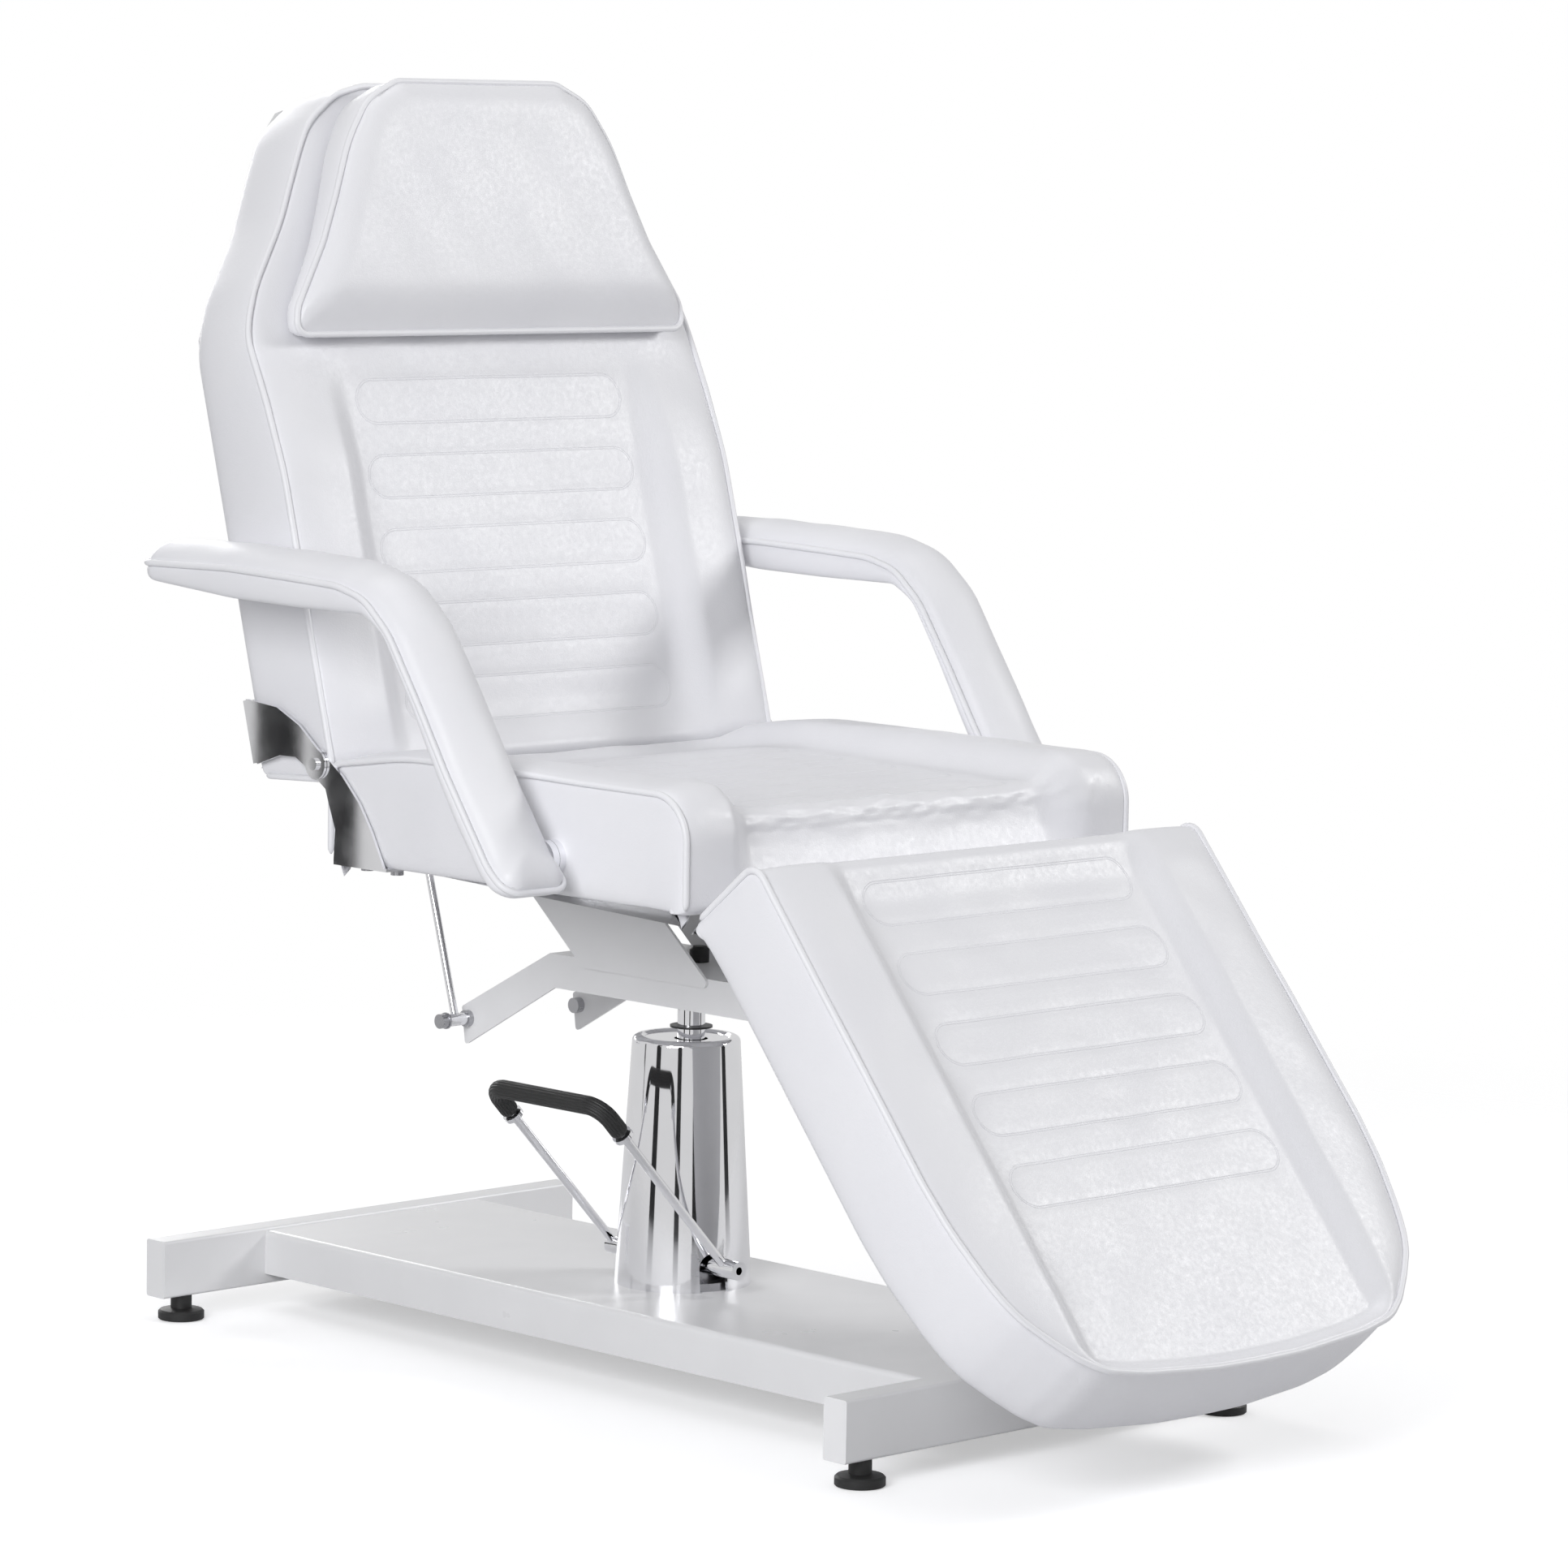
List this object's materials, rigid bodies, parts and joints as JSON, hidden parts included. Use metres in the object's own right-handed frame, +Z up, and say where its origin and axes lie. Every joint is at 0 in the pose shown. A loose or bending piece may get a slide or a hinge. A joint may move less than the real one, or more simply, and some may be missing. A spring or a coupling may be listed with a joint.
{
  "type": "hydraulic beauty treatment chair",
  "caption": "White upholstered treatment chair on a foot-pumped column, with hinged backrest and leg rest, slanted folding armrests, head pillow and gas springs.",
  "frame": {"origin": "on the floor, on the axis of the pump's ram, which is also the swivel axis", "axes": "+Z up, the sitter faces -Y, X across the chair"},
  "size_m": [0.8, 1.2886, 1.2877],
  "materials": {
    "upholstery": "satin",
    "board": "matte",
    "white_steel": "satin",
    "black_steel": "satin",
    "black_rubber": "matte",
    "black_plastic": "matte",
    "chrome": "polished",
    "steel": "satin"
  },
  "bodies": {
    "base": {"base_box": "white_steel", "front_crossbar": "white_steel", "rear_crossbar": "white_steel", "crossbar_end_caps": "white_steel", "pump_block": "steel", "pump_barrel": "steel", "pump_bolts": "steel", "pump_cover": "chrome"},
    "pedal": {"pedal_shaft": "chrome", "pedal_arms": "chrome", "pedal_grip": "black_rubber", "pedal_collars": "chrome"},
    "ram": {"piston_rod": "chrome", "ram_ring": "black_plastic"},
    "seat_frame": {"ram_socket": "white_steel", "beam_cheek_left": "white_steel", "beam_cheek_right": "white_steel", "beam_top_sheet": "white_steel", "beam_stop": "black_rubber", "seat_plate_left": "white_steel", "seat_plate_right": "white_steel", "seat_bolts": "steel", "seat_board": "board", "seat_cushion": "upholstery", "seat_hinge_plate_left": "chrome", "seat_hinge_plate_right": "chrome", "seat_hinge_screws": "steel", "leg_hinge_seat_leaf_left": "chrome", "leg_hinge_seat_leaf_right": "chrome", "leg_hinge_pins": "steel", "gas_bolts": "steel", "gas_nuts": "steel", "armrest_boss_left": "chrome", "armrest_boss_right": "chrome"},
    "backrest": {"back_board": "board", "backrest_cushion": "upholstery", "back_hinge_plate_left": "chrome", "back_hinge_plate_right": "chrome", "back_hinge_screws": "steel", "hinge_rivets": "chrome", "gas_bracket_left": "chrome", "gas_bracket_right": "chrome"},
    "headrest": {"head_pillow": "upholstery"},
    "legrest": {"leg_board": "board", "legrest_cushion": "upholstery", "leg_hinge_leg_leaf_left": "chrome", "leg_hinge_leg_leaf_right": "chrome"},
    "foot_front_left": {"foot_front_left": "black_rubber"},
    "foot_front_right": {"foot_front_right": "black_rubber"},
    "foot_rear_left": {"foot_rear_left": "black_rubber"},
    "foot_rear_right": {"foot_rear_right": "black_rubber"},
    "armrest_left": {"armrest_pad_left": "upholstery", "armrest_disc_left": "chrome"},
    "armrest_right": {"armrest_pad_right": "upholstery", "armrest_disc_right": "chrome"},
    "gas_rod_left": {"gas_rod_left": "chrome"},
    "gas_cylinder_left": {"gas_cylinder_left": "black_steel"},
    "gas_rod_right": {"gas_rod_right": "chrome"},
    "gas_cylinder_right": {"gas_cylinder_right": "black_steel"}
  },
  "joints": [
    {"name": "foot_front_left_screw", "type": "hinge", "parent": "base", "child": "foot_front_left", "pos_m": [-0.25, -0.502, 0.03], "axis": [0, 0, 1], "continuous": true},
    {"name": "foot_front_right_screw", "type": "hinge", "parent": "base", "child": "foot_front_right", "pos_m": [0.25, -0.502, 0.03], "axis": [0, 0, 1], "continuous": true},
    {"name": "foot_rear_left_screw", "type": "hinge", "parent": "base", "child": "foot_rear_left", "pos_m": [-0.25, 0.502, 0.03], "axis": [0, 0, 1], "continuous": true},
    {"name": "foot_rear_right_screw", "type": "hinge", "parent": "base", "child": "foot_rear_right", "pos_m": [0.25, 0.502, 0.03], "axis": [0, 0, 1], "continuous": true},
    {"name": "pedal_press", "type": "hinge", "parent": "base", "child": "pedal", "pos_m": [-0.015, 0, 0.11], "axis": [0, -1, 0], "range_deg": [0, 38], "stiffness_Nm_per_rad": 1.5, "springref_deg": -34.38},
    {"name": "lift", "type": "slide", "parent": "base", "child": "ram", "axis": [0, 0, 1], "range_m": [0, 0.15]},
    {"name": "swivel", "type": "hinge", "parent": "ram", "child": "seat_frame", "pos_m": [0, 0, 0.39], "axis": [0, 0, 1], "continuous": true},
    {"name": "recline", "type": "hinge", "parent": "seat_frame", "child": "backrest", "pos_m": [0, 0.2226, 0.6086], "axis": [-1, 0, 0], "range_deg": [0, 74.5]},
    {"name": "pillow_slide", "type": "slide", "parent": "backrest", "child": "headrest", "axis": [0, 0.2672, 0.9636], "range_m": [-0.04, 0.04]},
    {"name": "legrest_raise", "type": "hinge", "parent": "seat_frame", "child": "legrest", "pos_m": [0, -0.312, 0.505], "axis": [-1, 0, 0], "range_deg": [0, 50.3]},
    {"name": "armrest_left_fold", "type": "hinge", "parent": "seat_frame", "child": "armrest_left", "pos_m": [-0.31, -0.126, 0.55], "axis": [1, 0, 0], "range_deg": [-60, 0]},
    {"name": "armrest_right_fold", "type": "hinge", "parent": "seat_frame", "child": "armrest_right", "pos_m": [0.31, -0.126, 0.55], "axis": [1, 0, 0], "range_deg": [-60, 0]},
    {"name": "gas_rod_left_tilt", "type": "hinge", "parent": "seat_frame", "child": "gas_rod_left", "pos_m": [-0.096, 0.25, 0.33], "axis": [-1, 0, 0], "range_deg": [0, 34.2]},
    {"name": "gas_cylinder_left_tilt", "type": "hinge", "parent": "backrest", "child": "gas_cylinder_left", "pos_m": [-0.096, 0.3895, 0.7999], "axis": [-1, 0, 0], "range_deg": [-41.2, 0]},
    {"name": "gas_rod_right_tilt", "type": "hinge", "parent": "seat_frame", "child": "gas_rod_right", "pos_m": [0.096, 0.25, 0.33], "axis": [-1, 0, 0], "range_deg": [0, 34.2]},
    {"name": "gas_cylinder_right_tilt", "type": "hinge", "parent": "backrest", "child": "gas_cylinder_right", "pos_m": [0.096, 0.3895, 0.7999], "axis": [-1, 0, 0], "range_deg": [-41.2, 0]}
  ],
  "couplings": [
    {"joint": "gas_rod_left_tilt", "follows": "recline", "ratio": 0.4537},
    {"joint": "gas_cylinder_left_tilt", "follows": "recline", "ratio": -0.5463},
    {"joint": "gas_rod_right_tilt", "follows": "recline", "ratio": 0.4537},
    {"joint": "gas_cylinder_right_tilt", "follows": "recline", "ratio": -0.5463}
  ]
}
